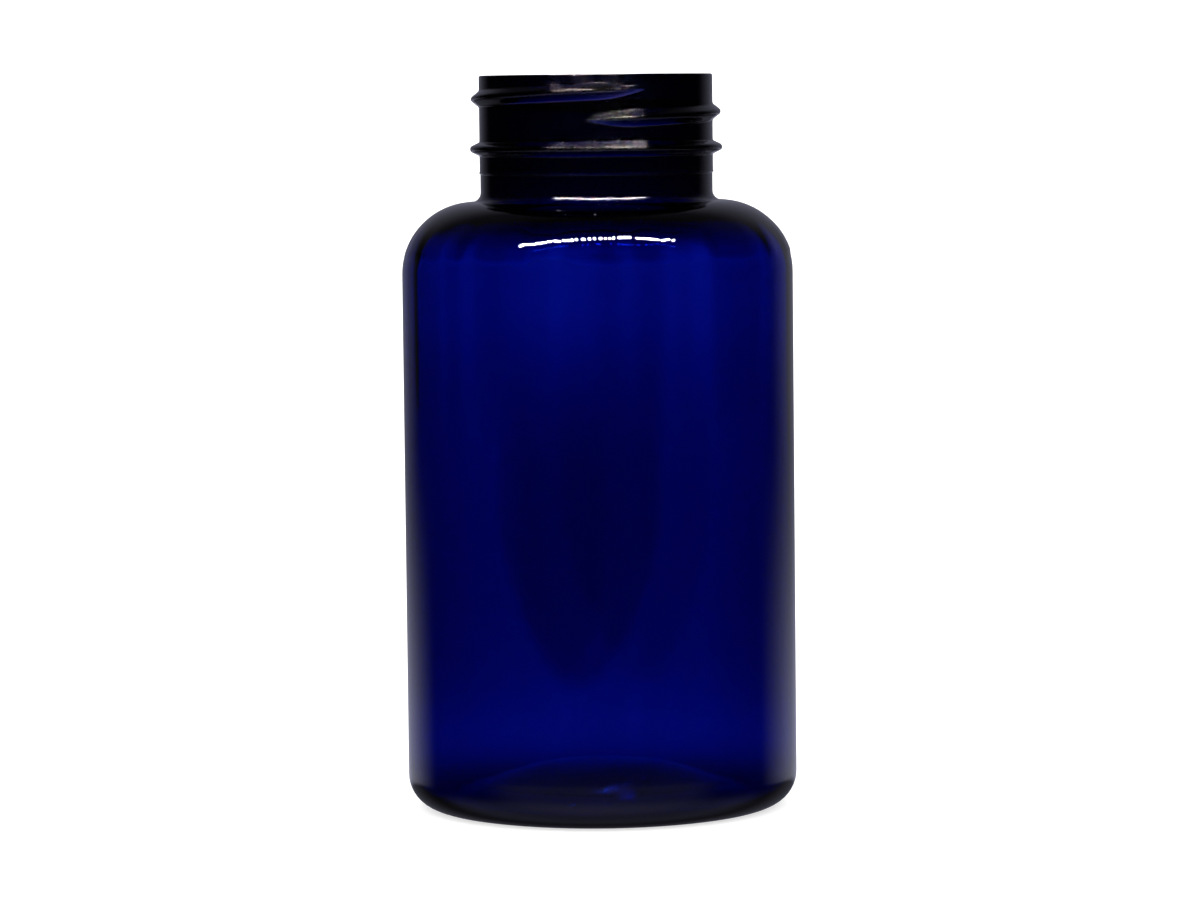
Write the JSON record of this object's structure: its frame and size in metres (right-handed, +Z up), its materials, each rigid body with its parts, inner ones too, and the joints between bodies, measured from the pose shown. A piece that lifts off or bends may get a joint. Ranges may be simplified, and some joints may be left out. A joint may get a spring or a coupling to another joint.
{
  "type": "wide-mouth packer bottle",
  "caption": "Round cobalt-blue plastic pill bottle with a straight body, round shoulder, pushed-up base and an open 38 mm screw-thread neck. No closure.",
  "frame": {"origin": "centre of the standing ring, on the surface that the bottle stands on", "axes": "+Z up along the bottle's axis towards the mouth, -Y towards the front, which is the side just left of the thread's start"},
  "size_m": [0.0588, 0.0588, 0.1103],
  "materials": {
    "cobalt_pet": "glossy translucent cobalt-blue PET, nearly opaque through two walls"
  },
  "bodies": {
    "root": {"bottle": "cobalt_pet"}
  },
  "joints": []
}
